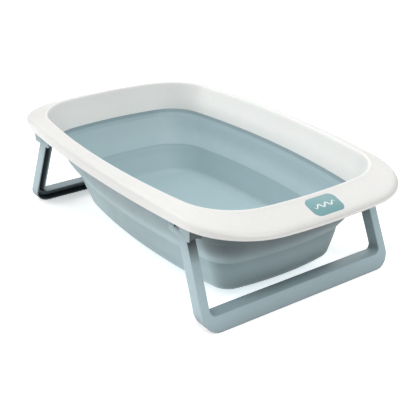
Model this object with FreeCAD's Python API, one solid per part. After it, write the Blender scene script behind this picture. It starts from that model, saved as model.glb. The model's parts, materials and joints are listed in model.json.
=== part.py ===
import FreeCAD, Part
import math
import os
from collections import namedtuple

# Foldable baby bathtub: a bowed white rim, a collapsible bowl that folds up into it,
# and two U-shaped leg frames that swing under it.
# Millimetres. +X is the long axis towards the badge end, +Y one long side, +Z up.
# The origin is on the ground under the middle of the tub.

Vec = FreeCAD.Vector
X_AXIS = Vec(1, 0, 0)
Y_AXIS = Vec(0, 1, 0)
Z_AXIS = Vec(0, 0, 1)
Ring = namedtuple("Ring", "half_length half_width side_sag end_sag corner_r shift far_extra_r",
                  defaults=[0.0, 0.0])

# ---- rim and bowl: horizontal outlines, and their depths below the rim's crest ----
CREST_Z = 218.0
RIM_OUTER = Ring(415.0, 247.0, 32.0, 28.0, 136.0)
CREST = Ring(351.0, 221.5, 37.0, 28.0, 112.0)
WALL_BREAK = Ring(338.5, 206.0, 37.0, 28.0, 90.0)
SEAM = Ring(335.5, 203.0, 37.0, 28.0, 82.0)
LEDGE = Ring(329.5, 198.0, 36.0, 27.0, 77.0)
BAND_MID = Ring(313.0, 189.0, 35.0, 26.0, 60.0, 4.0, 36.0)
CREASE = Ring(290.0, 172.5, 33.0, 24.0, 50.0, 8.0, 40.0)
FOLD_LOW = Ring(284.5, 167.5, 31.0, 22.0, 46.0, 10.5, 42.0)
TRAY_LOW = Ring(271.5, 157.0, 28.0, 20.0, 38.0, 15.5, 38.0)
FLOOR = Ring(256.5, 142.0, 25.0, 18.0, 30.0, 15.5, 32.0)
WALL_BREAK_DEPTH = 43.0
SEAM_DEPTH = 62.5
LEDGE_DEPTH = 78.0
BAND_MID_DEPTH = 104.0
CREASE_DEPTH = 130.0
FOLD_LOW_DEPTH = 148.0
TRAY_LOW_DEPTH = 178.0
FLOOR_DEPTH = 193.0
SKIRT_DEPTH = 28.5
DECK_SLOPE = math.tan(math.radians(17.5))
WALL = 2.5
SOFT_WALL = 2.2
FLOOR_WALL = 4.0
EDGE_R = 4.5
CREST_R = 4.0
FIT_GAP = 0.3
CREST_RELIEF = 1.2
FLOOR_FILLET_STEPS = 4
FOLD_GROOVE = 1.2

# ---- leg frames ----
LEG_FOOT_X = 346.5
LEG_LEAN = math.tan(math.radians(22.7))
LEG_DEPTH = 27.5
LEG_OUTER_TOP_Y = 215.5
LEG_OUTER_FOOT_Y = 222.5
ARM_WIDTH = 18.0
BAR_HEIGHT = 28.0
LEG_OUTER_R = 34.0
LEG_INNER_R = 12.0
LEG_SKIN = 2.6
LEG_WEB = 3.0
LEG_RIB = 2.4
LEG_RIB_DEPTH = 12.4
LEG_EDGE_R = 1.2
KNUCKLE_SOLID = 22.0
PAD_PROUD = 1.0
PAD_LENGTH = 70.0
PAD_WIDTH = 16.0
PAD_END_R = 7.5
PAD_INSET = 1.4
PAD_CENTRE_Y = 150.0
PAD_GAP = 0.1

# ---- hinges: one bracket, pin, clip and latch at each rim corner ----
HINGE_X = 259.5
HINGE_DEPTH = 42.0
KNUCKLE_R = 12.6
PIN_R = 5.0
PIN_BORE_R = 5.06
PIN_SEAT_R = 5.03
PIN_TAIL = 2.5
BRACKET_X0 = 231.0
BRACKET_X1 = 294.0
BRACKET_TOP_DEPTH = 16.0
BRACKET_BOTTOM_DEPTH = 58.0
BRACKET_TOP_WALL = 2.5
BRACKET_END_WALL = 4.5
CHEEK = 2.8
INNER_CHEEK = 2.6
INNER_CHEEK_X0 = 243.0
CHEEK_GAP = 0.4
OUTER_CHEEK_GAP = 1.6
BRACKET_CORNER_R = 5.0
CLIP_R = 7.5
CLIP_THICK = 1.0
CLIP_GROOVE_R = 4.0
CLIP_PLAY = 0.05
CLIP_MOUTH = 5.6
INNER_CHEEK_Y = LEG_OUTER_TOP_Y - ARM_WIDTH - CHEEK_GAP
CHEEK_FACE_Y = LEG_OUTER_TOP_Y + OUTER_CHEEK_GAP + CHEEK
PIN_END_Y = INNER_CHEEK_Y - INNER_CHEEK - PIN_TAIL
LATCH_X0 = 237.0
LATCH_LENGTH = 17.0
LATCH_Z0_DEPTH = 43.0
LATCH_HEIGHT = 13.0
LATCH_THICK = 3.0
LATCH_TRAVEL = 5.0
LATCH_STEM_LENGTH = 6.0
LATCH_STEM_HEIGHT = 6.0
LATCH_RIBS = 4
LATCH_RIB_WIDTH = 1.8
LATCH_RIB_PROUD = 1.2
LATCH_RIB_INSET = 1.0
SCREW_X = (237.0, 284.0)
SCREW_Y = 223.0
SCREW_LEDGE = 7.5
BOSS_R = 3.6
SCREW_R = 1.5
SCREW_BORE_R = 1.52
SCREW_CLEAR_R = 1.8
SCREW_HEAD_R = 2.9
SCREW_HEAD = 1.8
SCREW_REACH = 4.2
SCREW_TIP_GAP = 0.3

# ---- drain ----
DRAIN_X = 218.0
DRAIN_HOLE_R = 17.0
DRAIN_FLANGE_R = 23.0
DRAIN_FLANGE = 1.6
DRAIN_BORE_R = 13.0
DRAIN_SLEEVE_R = 16.7
DRAIN_BELOW = 4.5
NUT_R = 21.5
NUT_THICK = 3.0
GASKET_THICK = 0.8
NUT_NOTCHES = 6
NUT_NOTCH_R = 2.0
NUT_PLAY = 0.05
PLUG_SEAT_R = 12.3
PLUG_CAP_R = 17.5
PLUG_CAP = 2.4
PLUG_CAP_EDGE_R = 1.0
PLUG_DEPTH = 7.0
PLUG_TAB_WIDTH = 16.0
PLUG_TAB_HEIGHT = 7.0
PLUG_TAB_THICK = 3.0
PLUG_TAB_EDGE_R = 2.5
SEAL_R = 0.6
SEAL_GAP = 0.03

# ---- badge on the deck of the badge end ----
BADGE_X = 383.5
BADGE_Y = -3.5
BADGE_LENGTH = 44.0
BADGE_WIDTH = 66.0
BADGE_R = 12.0
BADGE_THICK = 1.6
BADGE_SUNK = 1.3
BADGE_GAP = 0.15

OVERLAP = 1.0


# ---- outlines ----
def grow(ring, d):
    """The ring moved outward by d."""
    return ring._replace(half_length=ring.half_length + d, half_width=ring.half_width + d,
                         corner_r=ring.corner_r + d)


def mix(a, b, t):
    """The ring a share t of the way from a to b."""
    return Ring(*[p + (q - p) * t for p, q in zip(a, b)])


def corner_centre(side_r, side_y, end_r, end_x, r):
    """Centre of the corner arc of radius r, where the two bows, both moved in by r, meet."""
    near_side = side_r - r
    near_end = end_r - r
    span = math.hypot(end_x, side_y)
    along = (near_side ** 2 - near_end ** 2 + span ** 2) / (2 * span)
    across = math.sqrt(near_side ** 2 - along ** 2)
    ux, uy = end_x / span, -side_y / span
    options = [(along * ux - s * across * uy, side_y + along * uy + s * across * ux) for s in (1, -1)]
    return max(options, key=sum)


def ring_arcs(ring):
    """The ring's eight tangent arcs, anticlockwise from the +X end: (cx, cy, r, start, end)."""
    side_r = (ring.half_length ** 2 + ring.side_sag ** 2) / (2 * ring.side_sag)
    end_r = (ring.half_width ** 2 + ring.end_sag ** 2) / (2 * ring.end_sag)
    side_y = ring.half_width - side_r
    end_x = ring.half_length - end_r
    near_r = ring.corner_r
    far_r = ring.corner_r + ring.far_extra_r
    nx, ny = corner_centre(side_r, side_y, end_r, end_x, near_r)
    fx, fy = corner_centre(side_r, side_y, end_r, end_x, far_r)
    near_side, near_end = math.atan2(ny - side_y, nx), math.atan2(ny, nx - end_x)
    far_side, far_end = math.atan2(fy - side_y, fx), math.atan2(fy, fx - end_x)
    pi = math.pi
    arcs = [(end_x, 0, end_r, -near_end, near_end),
            (nx, ny, near_r, near_end, near_side),
            (0, side_y, side_r, near_side, pi - far_side),
            (-fx, fy, far_r, pi - far_side, pi - far_end),
            (-end_x, 0, end_r, pi - far_end, pi + far_end),
            (-fx, -fy, far_r, pi + far_end, pi + far_side),
            (0, -side_y, side_r, pi + far_side, 2 * pi - near_side),
            (nx, -ny, near_r, 2 * pi - near_side, 2 * pi - near_end)]
    return [(x + ring.shift, y, radius, start, end) for x, y, radius, start, end in arcs]


def arc_points(arc, steps):
    cx, cy, r, start, end = arc
    turns = [start + (end - start) * i / steps for i in range(steps + 1)]
    return [(cx + r * math.cos(t), cy + r * math.sin(t)) for t in turns]


def flat_edges(ring, depth):
    """The ring's eight arcs, level at a depth below the crest."""
    z = CREST_Z - depth
    edges = []
    for arc in ring_arcs(ring):
        a, m, b = [Vec(x, y, z) for x, y in arc_points(arc, 2)]
        edges.append(Part.Arc(a, m, b).toShape())
    return edges


def crest_samples():
    steps = 40
    return [p for arc in ring_arcs(CREST) for p in arc_points(arc, steps)]


CREST_SAMPLES = crest_samples()


def deck_drop(x, y):
    """How far the sloping deck lies below the crest at a point outside the crest."""
    gap = min(math.hypot(x - cx, y - cy) for cx, cy in CREST_SAMPLES)
    return gap * DECK_SLOPE


def draped_edges(ring, extra):
    """The ring's eight edges following the deck's slope, a distance extra below it."""
    steps = 8
    edges = []
    for arc in ring_arcs(ring):
        points = [Vec(x, y, CREST_Z - deck_drop(x, y) - extra) for x, y in arc_points(arc, steps)]
        curve = Part.BSplineCurve()
        curve.interpolate(points)
        edges.append(curve.toShape())
    return edges


def ruled_faces(lower, upper):
    return [Part.makeRuledSurface(a, b) for a, b in zip(lower, upper)]


def solid_of(faces):
    shell = Part.makeShell(faces)
    shell.sewShape()
    solid = Part.makeSolid(shell)
    if solid.Volume < 0:
        solid.reverse()
    return solid


def loft(rows):
    """A solid with straight sides from row to row of edges, and flat ends."""
    faces = [Part.Face(Part.Wire(rows[0])), Part.Face(Part.Wire(rows[-1]))]
    for lower, upper in zip(rows, rows[1:]):
        faces += ruled_faces(lower, upper)
    return solid_of(faces)


def belt(rows):
    """A closed ring-shaped solid, with straight sides from each row of edges to the next."""
    faces = []
    for lower, upper in zip(rows, rows[1:] + rows[:1]):
        faces += ruled_faces(lower, upper)
    return solid_of(faces)


def cup(outer, inner):
    """The solid between two stacks of (ring, depth)."""
    outside = loft([flat_edges(r, d) for r, d in outer])
    inside = loft([flat_edges(r, d) for r, d in inner])
    return outside.cut(inside)


def band(stations, wall):
    """A closed belt of wall thickness whose inner face passes through (ring, depth) stations."""
    inner = [flat_edges(r, d) for r, d in stations]
    outer = [flat_edges(grow(r, wall), d) for r, d in reversed(stations)]
    return belt(inner + outer)


# ---- small helpers ----
def box(x0, x1, y0, y1, z0, z1):
    return Part.makeBox(x1 - x0, y1 - y0, z1 - z0, Vec(x0, y0, z0))


def rod(x, y, z0, z1, r):
    return Part.makeCylinder(r, z1 - z0, Vec(x, y, z0), Z_AXIS)


def cross_rod(x, y0, y1, z, r):
    return Part.makeCylinder(r, y1 - y0, Vec(x, y0, z), Y_AXIS)


def edges_along(shape, axis, z_min=-CREST_Z, z_max=CREST_Z):
    """The shape's edges parallel to an axis, between two heights."""
    return [e for e in shape.Edges if abs(e.tangentAt(e.FirstParameter).dot(axis)) > 0.9
            and e.BoundBox.ZMin > z_min and e.BoundBox.ZMax < z_max]


def union(shapes):
    whole = shapes[0]
    for shape in shapes[1:]:
        whole = whole.fuse(shape)
    return whole.removeSplitter()


def to_corner(shape, end, side):
    """A part modelled at the +X, +Y corner, mirrored to another corner."""
    if end < 0:
        shape = shape.mirror(Vec(0, 0, 0), X_AXIS)
    if side < 0:
        shape = shape.mirror(Vec(0, 0, 0), Y_AXIS)
    return shape


# ---- rim ----
def rim_body():
    """Skirt, rounded outer edge, sloping deck, rounded crest and inner wall, in one section."""
    top_of_wall = grow(mix(CREST, WALL_BREAK, 0.15), -0.3 * CREST_R)
    outside = [flat_edges(RIM_OUTER, SKIRT_DEPTH),
               draped_edges(RIM_OUTER, EDGE_R),
               draped_edges(grow(RIM_OUTER, -0.3 * EDGE_R), 0.3 * EDGE_R),
               draped_edges(grow(RIM_OUTER, -EDGE_R), 0.0),
               draped_edges(grow(CREST, CREST_R), 0.0)]
    inside = [flat_edges(CREST, 0.0),
              flat_edges(grow(CREST, -0.7 * CREST_R), 0.3 * CREST_R),
              flat_edges(top_of_wall, 1.5 * CREST_R),
              flat_edges(WALL_BREAK, WALL_BREAK_DEPTH),
              flat_edges(SEAM, SEAM_DEPTH)]
    underside = [flat_edges(grow(SEAM, WALL), SEAM_DEPTH),
                 flat_edges(grow(WALL_BREAK, WALL), WALL_BREAK_DEPTH),
                 flat_edges(grow(CREST, 0.4 * WALL), 1.5 * CREST_R),
                 draped_edges(grow(CREST, CREST_R), WALL),
                 draped_edges(grow(RIM_OUTER, -WALL - 0.5 * EDGE_R), WALL),
                 draped_edges(grow(RIM_OUTER, -WALL), WALL + 0.5 * EDGE_R),
                 flat_edges(grow(RIM_OUTER, -WALL), SKIRT_DEPTH)]
    return belt(outside + inside + underside)


def boss_top(x, y):
    """Height at which a screw boss ends, inside the deck's thickness."""
    return CREST_Z - deck_drop(x, y) - 0.6 * WALL


def rim_shell():
    floor_z = CREST_Z - BRACKET_TOP_DEPTH
    bosses = []
    bores = []
    for end in (1, -1):
        for side in (1, -1):
            for x in SCREW_X:
                boss = rod(x, SCREW_Y, floor_z, boss_top(x, SCREW_Y), BOSS_R)
                bore = rod(x, SCREW_Y, floor_z, floor_z + SCREW_REACH, SCREW_BORE_R)
                bosses.append(to_corner(boss, end, side))
                bores.append(to_corner(bore, end, side))
    return rim_body().multiFuse(bosses).cut(bores + [badge_plate(BADGE_GAP)])


def badge_plate(extra=0.0):
    """Rounded blank badge, let into the sloping deck; extra grows it into its pocket."""
    half_x, half_y = BADGE_LENGTH / 2 + extra, BADGE_WIDTH / 2 + extra
    plate = box(-half_x, half_x, -half_y, half_y, -BADGE_SUNK - extra, BADGE_THICK - BADGE_SUNK)
    plate = plate.makeFillet(BADGE_R + extra, edges_along(plate, Z_AXIS))
    plate.rotate(Vec(0, 0, 0), Y_AXIS, math.degrees(math.atan(DECK_SLOPE)))
    plate.translate(Vec(BADGE_X, BADGE_Y, CREST_Z - deck_drop(BADGE_X, BADGE_Y)))
    return plate


# ---- bowl ----
def bowl_collar():
    """Fixed soft strip moulded on under the rim's seam."""
    return band([(SEAM, SEAM_DEPTH), (LEDGE, LEDGE_DEPTH)], WALL)


def fold_band():
    """Soft belt between the ledge and the crease, which turns inside out as the bowl folds."""
    stations = [(LEDGE, LEDGE_DEPTH), (BAND_MID, BAND_MID_DEPTH), (CREASE, CREASE_DEPTH - FIT_GAP)]
    return band(stations, SOFT_WALL)


def floor_stations(offset, floor_offset):
    """Lower wall and rounded floor edge, grown by offset, with the floor dropped by floor_offset."""
    groove = mix(CREASE, FOLD_LOW, 0.5)
    stations = [(grow(CREASE, offset), CREASE_DEPTH),
                (grow(CREASE, offset - FOLD_GROOVE), CREASE_DEPTH + 2.0),
                (grow(groove, offset), (CREASE_DEPTH + FOLD_LOW_DEPTH) / 2),
                (grow(FOLD_LOW, offset - FOLD_GROOVE), FOLD_LOW_DEPTH - 2.0),
                (grow(FOLD_LOW, offset), FOLD_LOW_DEPTH),
                (grow(TRAY_LOW, offset), TRAY_LOW_DEPTH)]
    drop = FLOOR_DEPTH + floor_offset - TRAY_LOW_DEPTH
    for step in range(1, FLOOR_FILLET_STEPS + 1):
        turn = math.pi / 2 * step / FLOOR_FILLET_STEPS
        ring = grow(mix(TRAY_LOW, FLOOR, 1 - math.cos(turn)), offset)
        stations.append((ring, TRAY_LOW_DEPTH + drop * math.sin(turn)))
    return stations


def bowl_tray():
    """Lower bowl and floor, the part that rises when the tub is folded."""
    tray = cup(floor_stations(WALL, FLOOR_WALL), floor_stations(0.0, 0.0))
    floor_z = CREST_Z - FLOOR_DEPTH
    hole = rod(DRAIN_X, 0, floor_z - 2 * FLOOR_WALL, floor_z + FLOOR_WALL, DRAIN_HOLE_R)
    return tray.cut(hole)


# ---- drain ----
def drain_fitting(floor_top):
    """Flanged ring through the floor, with the gasket and nut that clamp it from below."""
    under = floor_top - FLOOR_WALL
    nut_top = under - GASKET_THICK
    nut_low = nut_top - NUT_THICK
    flange = rod(DRAIN_X, 0, floor_top, floor_top + DRAIN_FLANGE, DRAIN_FLANGE_R)
    sleeve = rod(DRAIN_X, 0, under - DRAIN_BELOW, floor_top, DRAIN_SLEEVE_R)
    bore = rod(DRAIN_X, 0, under - DRAIN_BELOW, floor_top + DRAIN_FLANGE, DRAIN_BORE_R)
    gasket = rod(DRAIN_X, 0, nut_top, under, NUT_R)
    nut = rod(DRAIN_X, 0, nut_low, nut_top, NUT_R)
    for i in range(NUT_NOTCHES):
        turn = 2 * math.pi * i / NUT_NOTCHES
        x, y = DRAIN_X + NUT_R * math.cos(turn), NUT_R * math.sin(turn)
        nut = nut.cut(rod(x, y, nut_low, nut_top, NUT_NOTCH_R))
    hole = rod(DRAIN_X, 0, nut_low, under, DRAIN_SLEEVE_R + NUT_PLAY)
    return {"drain_ring": union([flange, sleeve]).cut(bore),
            "drain_gasket": gasket.cut(hole), "drain_nut": nut.cut(hole)}


def drain_plug(seat):
    """Capped stopper with a pull tab, and the seal ring in the groove round its stem."""
    cap_top = seat + PLUG_CAP
    groove_z = seat - 0.5 * PLUG_DEPTH
    half = PLUG_TAB_WIDTH / 2
    cap = rod(DRAIN_X, 0, seat, cap_top, PLUG_CAP_R)
    cap = cap.makeFillet(PLUG_CAP_EDGE_R, [e for e in cap.Edges if e.BoundBox.ZMin > seat + 0.5 * PLUG_CAP])
    stem = rod(DRAIN_X, 0, seat - PLUG_DEPTH, seat, PLUG_SEAT_R)
    tab = box(DRAIN_X - PLUG_TAB_THICK / 2, DRAIN_X + PLUG_TAB_THICK / 2, -half, half,
              cap_top, cap_top + PLUG_TAB_HEIGHT)
    tab = tab.makeFillet(PLUG_TAB_EDGE_R, edges_along(tab, X_AXIS, z_min=cap_top + 1.0))
    centre = Vec(DRAIN_X, 0, groove_z)
    plug = union([cap, stem, tab]).cut(Part.makeTorus(PLUG_SEAT_R, SEAL_R, centre))
    return {"drain_plug": plug, "plug_seal": Part.makeTorus(PLUG_SEAT_R, SEAL_R - SEAL_GAP, centre)}


# ---- leg frames ----
def leg_point(y, z, back=0.0):
    """A point of the leaning leg: z above the ground, back from its outboard face."""
    return Vec(LEG_FOOT_X - z * LEG_LEAN - back, y, z)


def rounded_path(corners, radii, back):
    """Closed wire through (y, z) corners on the leaning face, with rounded corners."""
    count = len(corners)
    edges = []
    last = None
    first = None
    for i, (y, z) in enumerate(corners):
        here = leg_point(y, z, back)
        before = leg_point(*corners[i - 1], back)
        after = leg_point(*corners[(i + 1) % count], back)
        if radii[i] == 0:
            start = end = here
        else:
            u = (before - here).normalize()
            v = (after - here).normalize()
            half = math.acos(u.dot(v)) / 2
            cut = radii[i] / math.tan(half)
            start, end = here + u * cut, here + v * cut
            centre = here + (u + v).normalize() * (radii[i] / math.sin(half))
            middle = centre + (here - centre).normalize() * radii[i]
        if last is not None:
            edges.append(Part.makeLine(last, start))
        if radii[i]:
            edges.append(Part.Arc(start, middle, end).toShape())
        first = first or start
        last = end
    edges.append(Part.makeLine(last, first))
    return Part.Wire(edges)


def leg_profile(inset, top, back):
    """U-shaped face of the leg frame, inset from its outline, up to a height top."""
    foot = PAD_PROUD
    slope = (LEG_OUTER_FOOT_Y - LEG_OUTER_TOP_Y) / (CREST_Z - HINGE_DEPTH)

    def arm(z, from_outer):
        return LEG_OUTER_FOOT_Y - slope * z - from_outer

    low, high = foot + inset, foot + BAR_HEIGHT - inset
    near, far = inset, ARM_WIDTH - inset
    half = [(arm(top, far), top, 0), (arm(high, far), high, LEG_INNER_R + inset)]
    outer = [(arm(low, near), low, LEG_OUTER_R - inset), (arm(top, near), top, 0)]
    corners = ([(-y, z, r) for y, z, r in reversed(outer)] + outer
               + half + [(-y, z, r) for y, z, r in reversed(half)])
    wire = rounded_path([(y, z) for y, z, r in corners], [r for y, z, r in corners], back)
    return Part.Face(wire)


def leg_frame():
    """Leaning U-frame: a web on the outboard side, skins round it, open on the inboard side."""
    hinge_z = CREST_Z - HINGE_DEPTH
    solid_from = hinge_z - KNUCKLE_SOLID
    frame = leg_profile(0.0, hinge_z, 0.0).extrude(Vec(-LEG_DEPTH, 0, 0))
    front = [e for e in frame.Edges
             if all(abs(v.X - (LEG_FOOT_X - v.Z * LEG_LEAN)) < 0.01 for v in e.Vertexes)
             and e.BoundBox.ZMin < hinge_z - 1.0]
    frame = frame.makeFillet(LEG_EDGE_R, front)
    frame = frame.cut(leg_profile(LEG_SKIN, solid_from, LEG_WEB).extrude(Vec(-LEG_DEPTH, 0, 0)))
    middle = (ARM_WIDTH - LEG_RIB) / 2
    rib_face = leg_profile(middle, solid_from + OVERLAP, LEG_WEB - OVERLAP)
    pieces = [frame, rib_face.extrude(Vec(-LEG_RIB_DEPTH, 0, 0))]
    bores = []
    for side in (1, -1):
        y0, y1 = sorted((side * (LEG_OUTER_TOP_Y - ARM_WIDTH), side * LEG_OUTER_TOP_Y))
        pieces.append(cross_rod(HINGE_X, y0, y1, hinge_z, KNUCKLE_R))
        bores.append(cross_rod(HINGE_X, y0 - OVERLAP, y1 + OVERLAP, hinge_z, PIN_BORE_R))
    return union(pieces).cut(bores + [foot_pad_at(side, PAD_GAP) for side in (1, -1)])


def foot_pad_at(side, extra=0.0):
    """Anti-slip pad let into the underside of the bar; extra grows it into its pocket."""
    x = LEG_FOOT_X - LEG_DEPTH / 2
    half_x, half_y = PAD_WIDTH / 2 + extra, PAD_LENGTH / 2 + extra
    y = side * PAD_CENTRE_Y
    pad = box(x - half_x, x + half_x, y - half_y, y + half_y, 0, PAD_PROUD + PAD_INSET)
    return pad.makeFillet(PAD_END_R, edges_along(pad, Z_AXIS))


# ---- hinge corner, modelled at +X, +Y ----
def wall_relief():
    """Room taken by the rim's inner wall and collar, with a gap."""
    clear = WALL + FIT_GAP
    return loft([flat_edges(grow(CREST, clear + CREST_RELIEF), 0.0),
                 flat_edges(grow(WALL_BREAK, clear), WALL_BREAK_DEPTH),
                 flat_edges(grow(SEAM, clear), SEAM_DEPTH),
                 flat_edges(grow(LEDGE, clear), LEDGE_DEPTH)])


def cheek(x0, y0, y1, bottom, top):
    """Side plate of a bracket, from x0 to the outboard end, with rounded lower corners."""
    plate = box(x0, BRACKET_X1, y0, y1, bottom, top)
    return plate.makeFillet(BRACKET_CORNER_R, edges_along(plate, Y_AXIS, z_max=bottom + 1.0))


def latch_slot():
    """Slot in the outer cheek for the latch's stem and its travel."""
    x1 = LATCH_X0 + (LATCH_LENGTH + LATCH_STEM_LENGTH) / 2
    z = CREST_Z - LATCH_Z0_DEPTH + LATCH_HEIGHT / 2
    half = LATCH_STEM_HEIGHT / 2 + FIT_GAP
    return box(x1 - LATCH_STEM_LENGTH - LATCH_TRAVEL - FIT_GAP, x1 + FIT_GAP,
               CHEEK_FACE_Y - CHEEK - OVERLAP, CHEEK_FACE_Y + OVERLAP, z - half, z + half)


def bracket():
    """Hanger with two cheeks and a closed outboard end, screwed up under the rim."""
    top = CREST_Z - BRACKET_TOP_DEPTH
    bottom = CREST_Z - BRACKET_BOTTOM_DEPTH
    outer_y = CHEEK_FACE_Y - CHEEK
    plate = box(BRACKET_X0, BRACKET_X1, INNER_CHEEK_Y - INNER_CHEEK, CHEEK_FACE_Y + SCREW_LEDGE,
                top - BRACKET_TOP_WALL, top)
    end = box(BRACKET_X1 - BRACKET_END_WALL, BRACKET_X1, INNER_CHEEK_Y - INNER_CHEEK, CHEEK_FACE_Y,
              bottom + BRACKET_CORNER_R, top)
    body = union([plate, end, cheek(BRACKET_X0, outer_y, CHEEK_FACE_Y, bottom, top),
                  cheek(INNER_CHEEK_X0, INNER_CHEEK_Y - INNER_CHEEK, INNER_CHEEK_Y, bottom, top)])
    seat = cross_rod(HINGE_X, INNER_CHEEK_Y - INNER_CHEEK - OVERLAP, CHEEK_FACE_Y + OVERLAP,
                     CREST_Z - HINGE_DEPTH, PIN_SEAT_R)
    holes = [rod(x, SCREW_Y, top - BRACKET_TOP_WALL - OVERLAP, top + OVERLAP, SCREW_CLEAR_R)
             for x in SCREW_X]
    return body.cut([seat, wall_relief(), latch_slot()] + holes)


def hinge_pin():
    """Pin through both cheeks, with a clip groove in the tail that stands out inside."""
    z = CREST_Z - HINGE_DEPTH
    pin = cross_rod(HINGE_X, PIN_END_Y, CHEEK_FACE_Y, z, PIN_R)
    y0 = PIN_END_Y + CLIP_THICK / 2
    y1 = y0 + CLIP_THICK + 2 * CLIP_PLAY
    sleeve = cross_rod(HINGE_X, y0, y1, z, PIN_R + OVERLAP)
    return pin.cut(sleeve.cut(cross_rod(HINGE_X, y0, y1, z, CLIP_GROOVE_R)))


def pin_clip():
    """Open spring ring in the pin's groove."""
    y0 = PIN_END_Y + CLIP_THICK / 2 + CLIP_PLAY
    y1 = y0 + CLIP_THICK
    z = CREST_Z - HINGE_DEPTH
    clip = cross_rod(HINGE_X, y0, y1, z, CLIP_R)
    bore = cross_rod(HINGE_X, y0, y1, z, CLIP_GROOVE_R + CLIP_PLAY)
    mouth = box(HINGE_X - CLIP_MOUTH / 2, HINGE_X + CLIP_MOUTH / 2, y0, y1, z - CLIP_R - OVERLAP, z)
    return clip.cut([bore, mouth])


def latch():
    """Ribbed release tab on the bracket's outer cheek, with a stem in the cheek's slot."""
    z0 = CREST_Z - LATCH_Z0_DEPTH
    z1 = z0 + LATCH_HEIGHT
    y0 = CHEEK_FACE_Y + FIT_GAP
    y1 = y0 + LATCH_THICK
    pieces = [box(LATCH_X0, LATCH_X0 + LATCH_LENGTH, y0, y1, z0, z1)]
    pitch = LATCH_LENGTH / LATCH_RIBS
    for i in range(LATCH_RIBS):
        x = LATCH_X0 + pitch * (i + 0.5) - LATCH_RIB_WIDTH / 2
        pieces.append(box(x, x + LATCH_RIB_WIDTH, y1, y1 + LATCH_RIB_PROUD,
                          z0 + LATCH_RIB_INSET, z1 - LATCH_RIB_INSET))
    stem_x = LATCH_X0 + (LATCH_LENGTH - LATCH_STEM_LENGTH) / 2
    stem_z = z0 + (LATCH_HEIGHT - LATCH_STEM_HEIGHT) / 2
    pieces.append(box(stem_x, stem_x + LATCH_STEM_LENGTH, CHEEK_FACE_Y - CHEEK + FIT_GAP, y0,
                      stem_z, stem_z + LATCH_STEM_HEIGHT))
    return union(pieces)


def bracket_screw(x):
    top = CREST_Z - BRACKET_TOP_DEPTH
    head = rod(x, SCREW_Y, top - BRACKET_TOP_WALL - SCREW_HEAD, top - BRACKET_TOP_WALL, SCREW_HEAD_R)
    shank = rod(x, SCREW_Y, top - BRACKET_TOP_WALL, top + SCREW_REACH - SCREW_TIP_GAP, SCREW_R)
    return union([head, shank])


def bracket_screws():
    screws = []
    for end in (1, -1):
        for side in (1, -1):
            for x in SCREW_X:
                screws.append(to_corner(bracket_screw(x), end, side))
    return Part.makeCompound(screws)


# ---- the assembly ----
def build_parts():
    parts = {"rim_shell": rim_shell(), "bowl_collar": bowl_collar(), "fold_band": fold_band(),
             "bowl_tray": bowl_tray(), "badge_plate": badge_plate(), "bracket_screws": bracket_screws()}
    floor_top = CREST_Z - FLOOR_DEPTH
    parts.update(drain_fitting(floor_top))
    parts.update(drain_plug(floor_top + DRAIN_FLANGE))
    frame = leg_frame()
    corner = {"hinge_bracket": bracket(), "hinge_pin": hinge_pin(), "pin_clip": pin_clip(),
              "leg_latch": latch()}
    for end_name, end in (("near", 1), ("far", -1)):
        parts[end_name + "_leg_frame"] = frame.rotated(Vec(0, 0, 0), Z_AXIS, 90 - 90 * end)
        for side_name, side in (("left", 1), ("right", -1)):
            place = "_" + end_name + "_" + side_name
            parts["foot_pad" + place] = to_corner(foot_pad_at(1), end, side)
            for name, shape in corner.items():
                parts[name + place] = to_corner(shape, end, side)
    return parts


def main():
    os.makedirs("parts", exist_ok=True)
    for name, shape in build_parts().items():
        shape.exportStep("parts/" + name + ".step")
        print(name, len(shape.Solids), "solid", round(shape.Volume / 1000, 2), "cm3",
              "valid" if shape.isValid() else "NOT VALID")


main()
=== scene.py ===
import json
from collections import namedtuple
from math import asin, atan, atan2, ceil, cos, hypot, pi, radians, remainder, sin, sqrt, tan

import bmesh
import bpy
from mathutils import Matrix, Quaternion, Vector
from mathutils.kdtree import KDTree

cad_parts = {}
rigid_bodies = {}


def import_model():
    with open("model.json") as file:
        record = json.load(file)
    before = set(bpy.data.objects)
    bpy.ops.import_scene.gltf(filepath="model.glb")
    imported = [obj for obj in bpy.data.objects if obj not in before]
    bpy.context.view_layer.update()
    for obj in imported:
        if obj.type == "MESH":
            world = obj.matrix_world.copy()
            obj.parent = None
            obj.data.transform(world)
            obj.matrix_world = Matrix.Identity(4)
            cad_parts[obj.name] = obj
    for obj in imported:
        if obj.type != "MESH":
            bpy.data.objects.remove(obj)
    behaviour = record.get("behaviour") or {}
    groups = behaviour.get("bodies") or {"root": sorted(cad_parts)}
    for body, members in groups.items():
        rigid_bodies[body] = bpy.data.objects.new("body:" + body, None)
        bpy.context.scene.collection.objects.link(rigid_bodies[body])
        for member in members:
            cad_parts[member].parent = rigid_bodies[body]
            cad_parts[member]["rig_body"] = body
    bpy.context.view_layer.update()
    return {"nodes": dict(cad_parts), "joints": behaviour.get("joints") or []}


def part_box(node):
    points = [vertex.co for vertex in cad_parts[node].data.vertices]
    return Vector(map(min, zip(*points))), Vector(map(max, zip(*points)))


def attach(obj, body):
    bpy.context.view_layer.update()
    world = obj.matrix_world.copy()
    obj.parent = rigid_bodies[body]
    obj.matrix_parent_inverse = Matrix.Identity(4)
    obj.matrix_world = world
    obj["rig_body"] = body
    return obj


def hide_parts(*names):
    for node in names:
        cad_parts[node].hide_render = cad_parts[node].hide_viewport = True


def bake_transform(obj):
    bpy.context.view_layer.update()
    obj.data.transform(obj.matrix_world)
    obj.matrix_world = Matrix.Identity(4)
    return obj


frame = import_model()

# Foldable baby bathtub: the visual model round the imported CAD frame.
# Lengths are in millimetres unless said, and turned into metres when a mesh is made.
# Small parts take their places from the frame's boxes and joints; outlines are set here.
MM = 0.001
ENDS = (("near", 1), ("far", -1))
SIDES = (("left", 1), ("right", -1))

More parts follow.
